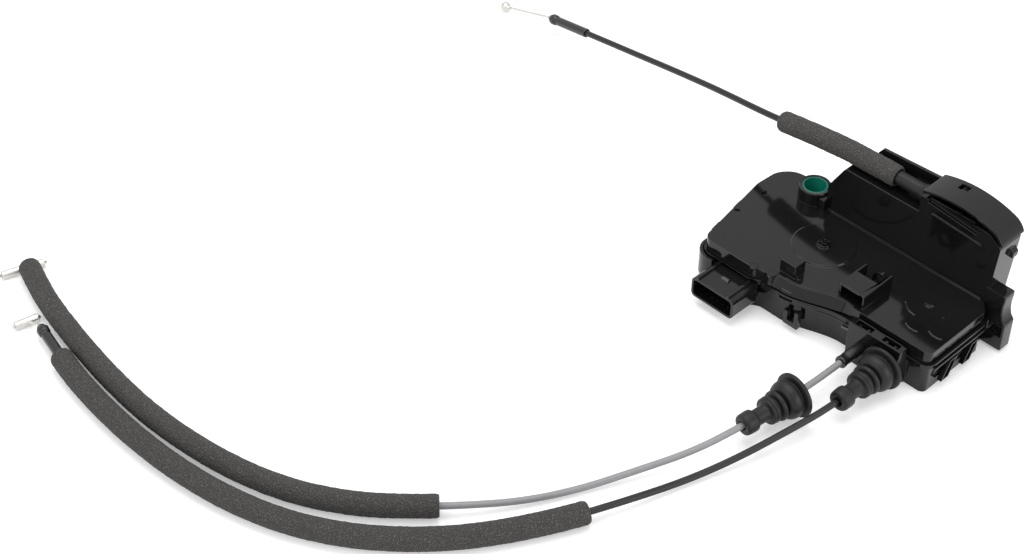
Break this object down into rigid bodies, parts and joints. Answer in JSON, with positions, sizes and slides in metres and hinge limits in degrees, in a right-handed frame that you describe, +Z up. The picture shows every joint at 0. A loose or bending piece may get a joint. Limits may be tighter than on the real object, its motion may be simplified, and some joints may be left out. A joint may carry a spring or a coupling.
{
  "type": "car door lock",
  "caption": "Car door lock: black plastic actuator housing with an upright latch and three pull cables in foam sleeves.",
  "frame": {"origin": "middle of the lock's bounding box without its cables, at its underside", "axes": "+X along the latch to the right as seen from the front, +Y towards the face plate, +Z up, away from the tray's floor"},
  "size_m": [0.5163, 0.5087, 0.0968],
  "materials": {
    "black_plastic": "fine grain, a little shiny",
    "black_fittings": "semi-gloss",
    "rubber": "matt",
    "foam": "open-pored foam",
    "grey_conduit": "smooth",
    "black_conduit": "smooth",
    "plated_steel": "zinc plated",
    "green_plastic": "smooth",
    "white_plastic": "natural",
    "brass": "drawn"
  },
  "bodies": {
    "lock_body": {"housing_base": "black_plastic", "actuator_cover": "black_plastic", "cover_seal": "rubber", "connector_shroud": "black_plastic", "connector_terminals": "brass", "contact_strips": "brass", "microswitches": "black_fittings", "wheel_spindles": "plated_steel", "lever_pins": "plated_steel", "safe_motor": "plated_steel", "lock_motor": "plated_steel", "latch_housing": "black_plastic", "face_plate": "plated_steel", "latch_back_plate": "plated_steel", "claw_pin": "plated_steel", "pawl_pin": "plated_steel", "claw_spring": "plated_steel", "pawl_spring": "plated_steel", "striker_bumper": "rubber", "cable_hood": "black_plastic", "outside_lever_pin": "plated_steel", "case_screws": "plated_steel", "inside_cable_conduit": "grey_conduit", "knob_cable_conduit": "black_conduit", "handle_cable_conduit": "black_conduit", "inside_cable_sleeve": "foam", "knob_cable_sleeve": "foam", "handle_cable_sleeve": "foam", "inside_cable_cap": "black_fittings", "knob_cable_cap": "black_fittings", "handle_cable_cap": "black_fittings", "inside_cable_ferrule": "black_fittings", "knob_cable_ferrule": "black_fittings", "handle_cable_boot": "rubber", "inside_cable_grommet": "rubber", "knob_cable_grommet": "rubber"},
    "claw": {"claw": "plated_steel"},
    "pawl": {"pawl": "plated_steel"},
    "key_coupler": {"key_coupler": "green_plastic", "key_lever": "white_plastic"},
    "lock_wheel": {"lock_wheel": "white_plastic"},
    "lock_worm": {"lock_worm": "brass"},
    "safe_wheel": {"safe_wheel": "white_plastic"},
    "safe_worm": {"safe_worm": "brass"},
    "lock_lever": {"lock_lever": "white_plastic"},
    "safe_lever": {"safe_lever": "white_plastic"},
    "inside_release_lever": {"inside_release_lever": "plated_steel"},
    "outside_release_lever": {"outside_release_lever": "plated_steel"},
    "inside_cable_end": {"inside_cable_end": "plated_steel"},
    "knob_cable_end": {"knob_cable_end": "plated_steel"},
    "handle_cable_end": {"handle_cable_end": "plated_steel"}
  },
  "joints": [
    {"name": "claw_turn", "type": "hinge", "parent": "lock_body", "child": "claw", "pos_m": [0.00195, 0.0555, 0.035], "axis": [0, 1, 0], "range_deg": [-62, 0], "stiffness_Nm_per_rad": 0.06, "springref_deg": 28.65},
    {"name": "pawl_turn", "type": "hinge", "parent": "lock_body", "child": "pawl", "pos_m": [0.04339, 0.0555, 0.03895], "axis": [0, 1, 0], "range_deg": [-9, 4], "stiffness_Nm_per_rad": 0.05},
    {"name": "key_turn", "type": "hinge", "parent": "lock_body", "child": "key_coupler", "pos_m": [-0.06405, 0.0445, 0.0345], "axis": [0, 0, 1], "range_deg": [-45, 45], "stiffness_Nm_per_rad": 0.03},
    {"name": "lock_wheel_turn", "type": "hinge", "parent": "lock_body", "child": "lock_wheel", "pos_m": [0.05685, 0.0138, 0.0218], "axis": [0, 0, 1], "range_deg": [0, 90]},
    {"name": "lock_worm_turn", "type": "hinge", "parent": "lock_body", "child": "lock_worm", "pos_m": [0.05685, 0.03073, 0.0218], "axis": [1, 0, 0], "range_deg": [-5, 2795]},
    {"name": "lock_lever_turn", "type": "hinge", "parent": "lock_body", "child": "lock_lever", "pos_m": [0.07735, -0.011, 0.01], "axis": [0, 0, 1], "range_deg": [-0.2, 44.2]},
    {"name": "knob_cable_slide", "type": "slide", "parent": "lock_body", "child": "knob_cable_end", "axis": [-0.9806, 0.1961, 0], "range_m": [-0.0001, 0.01194]},
    {"name": "safe_wheel_turn", "type": "hinge", "parent": "lock_body", "child": "safe_wheel", "pos_m": [-0.02665, 0.0094, 0.0218], "axis": [0, 0, 1], "range_deg": [0, 90]},
    {"name": "safe_worm_turn", "type": "hinge", "parent": "lock_body", "child": "safe_worm", "pos_m": [-0.04955, 0.0094, 0.0218], "axis": [0, 1, 0], "range_deg": [-5, 4145]},
    {"name": "safe_lever_turn", "type": "hinge", "parent": "lock_body", "child": "safe_lever", "pos_m": [-0.00605, -0.0085, 0.01], "axis": [0, 0, 1], "range_deg": [-0.2, 27.2]},
    {"name": "inside_lever_turn", "type": "hinge", "parent": "lock_body", "child": "inside_release_lever", "pos_m": [0.01795, -0.01, 0.005], "axis": [0, 0, 1], "range_deg": [-37, 0], "stiffness_Nm_per_rad": 0.03},
    {"name": "inside_cable_slide", "type": "slide", "parent": "lock_body", "child": "inside_cable_end", "axis": [-0.9578, 0.2873, 0], "range_m": [-0.0001, 0.01438]},
    {"name": "outside_lever_turn", "type": "hinge", "parent": "lock_body", "child": "outside_release_lever", "pos_m": [0.05995, 0.0487, 0.062], "axis": [0, 1, 0], "range_deg": [-44, 0], "stiffness_Nm_per_rad": 0.03},
    {"name": "handle_cable_slide", "type": "slide", "parent": "lock_body", "child": "handle_cable_end", "axis": [-0.9668, 0.1174, -0.227], "range_m": [-0.0001, 0.01411]}
  ],
  "couplings": [
    {"joint": "lock_worm_turn", "follows": "lock_wheel_turn", "ratio": 31},
    {"joint": "lock_lever_turn", "follows": "lock_wheel_turn", "ratio": 0.48889},
    {"joint": "knob_cable_slide", "follows": "lock_wheel_turn", "m_per_rad": 0.007536},
    {"joint": "safe_worm_turn", "follows": "safe_wheel_turn", "ratio": 46},
    {"joint": "safe_lever_turn", "follows": "safe_wheel_turn", "ratio": 0.3},
    {"joint": "inside_cable_slide", "follows": "inside_lever_turn", "m_per_rad": -0.022111},
    {"joint": "handle_cable_slide", "follows": "outside_lever_turn", "m_per_rad": -0.018244}
  ]
}
